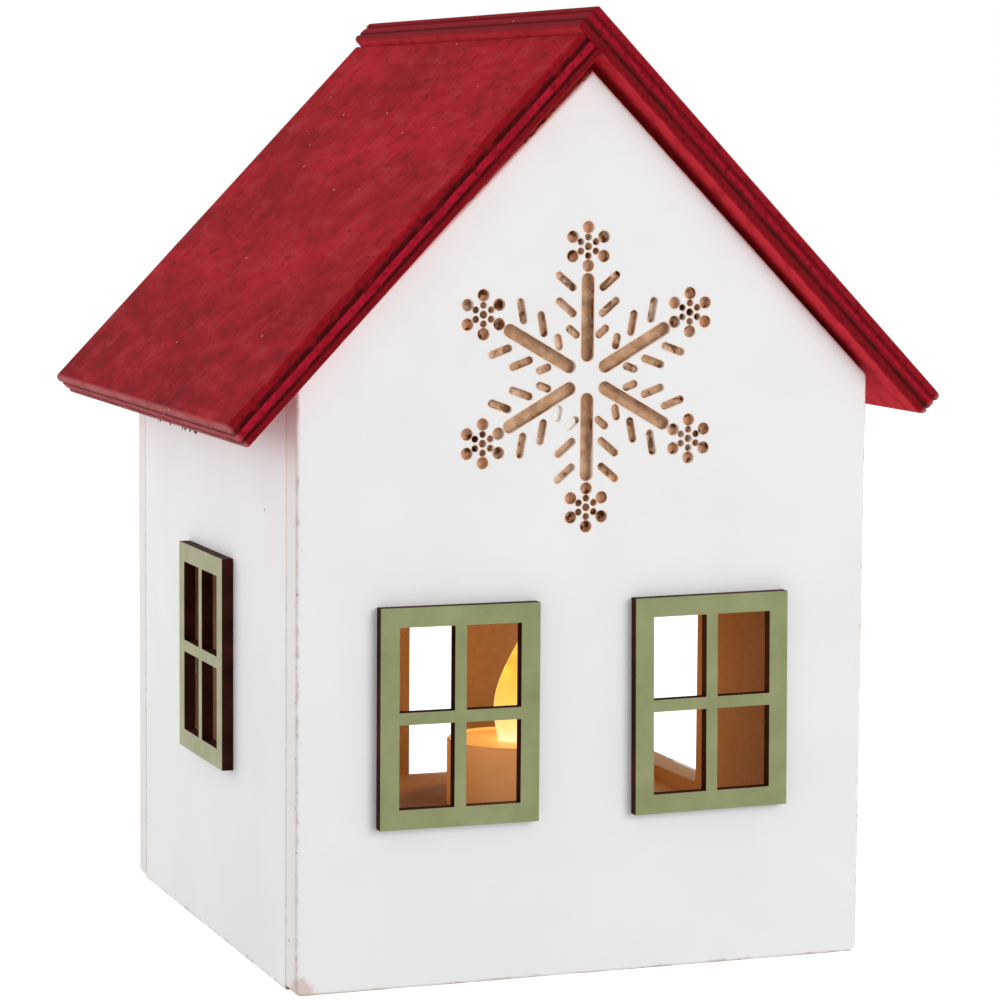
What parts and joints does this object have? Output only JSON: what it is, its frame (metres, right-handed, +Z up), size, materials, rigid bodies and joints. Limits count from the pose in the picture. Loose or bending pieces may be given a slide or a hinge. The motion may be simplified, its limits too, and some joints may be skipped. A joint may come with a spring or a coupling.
{
  "type": "tealight house",
  "caption": "Wooden house lantern with a red plywood roof, framed windows and a routed snowflake; an LED tealight inside draws out through the side.",
  "frame": {"origin": "on the table, under the middle of the whole outline, roof included", "axes": "+Z up, the front gable with the snowflake faces -Y, +X to the right seen from the front"},
  "size_m": [0.192, 0.1802, 0.2462],
  "materials": {
    "white_paint": "matt white paint on board, brown where worn and cut",
    "raw_board": "bare brown board",
    "red_stain": "red stain on plywood, grain showing",
    "sage_paint": "sage green paint, laser-burnt brown edges",
    "cup_plastic": "ivory moulded plastic",
    "flame_plastic": "translucent glowing diffuser",
    "diode_resin": "clear resin",
    "tinned_wire": "tinned",
    "cell_steel": "nickel plated",
    "contact_steel": "spring strip",
    "switch_plastic": "black moulded plastic"
  },
  "bodies": {
    "house": {"front_panel": "white_paint", "back_panel": "white_paint", "left_wall": "white_paint", "right_wall": "white_paint", "floor_panel": "raw_board", "roof_left": "red_stain", "roof_right": "red_stain", "window_frame_front_left": "sage_paint", "window_frame_front_right": "sage_paint", "window_frame_left": "sage_paint"},
    "tealight": {"tealight_cup": "cup_plastic", "tealight_base": "cup_plastic", "battery_door": "cup_plastic", "flame_bulb": "flame_plastic", "led": "diode_resin", "led_legs": "tinned_wire", "coin_cell": "cell_steel", "upper_contact": "contact_steel", "lower_contact": "contact_steel", "switch_contact": "contact_steel", "battery_door_screw": "cell_steel"},
    "switch": {"switch_slider": "switch_plastic"}
  },
  "joints": [
    {"name": "tealight_draw_out", "type": "slide", "parent": "house", "child": "tealight", "axis": [0.9479, 0.2559, 0.1896], "range_m": [0, 0.09]},
    {"name": "switch_slide", "type": "slide", "parent": "tealight", "child": "switch", "axis": [0, 1, 0], "range_m": [0, 0.003]}
  ]
}
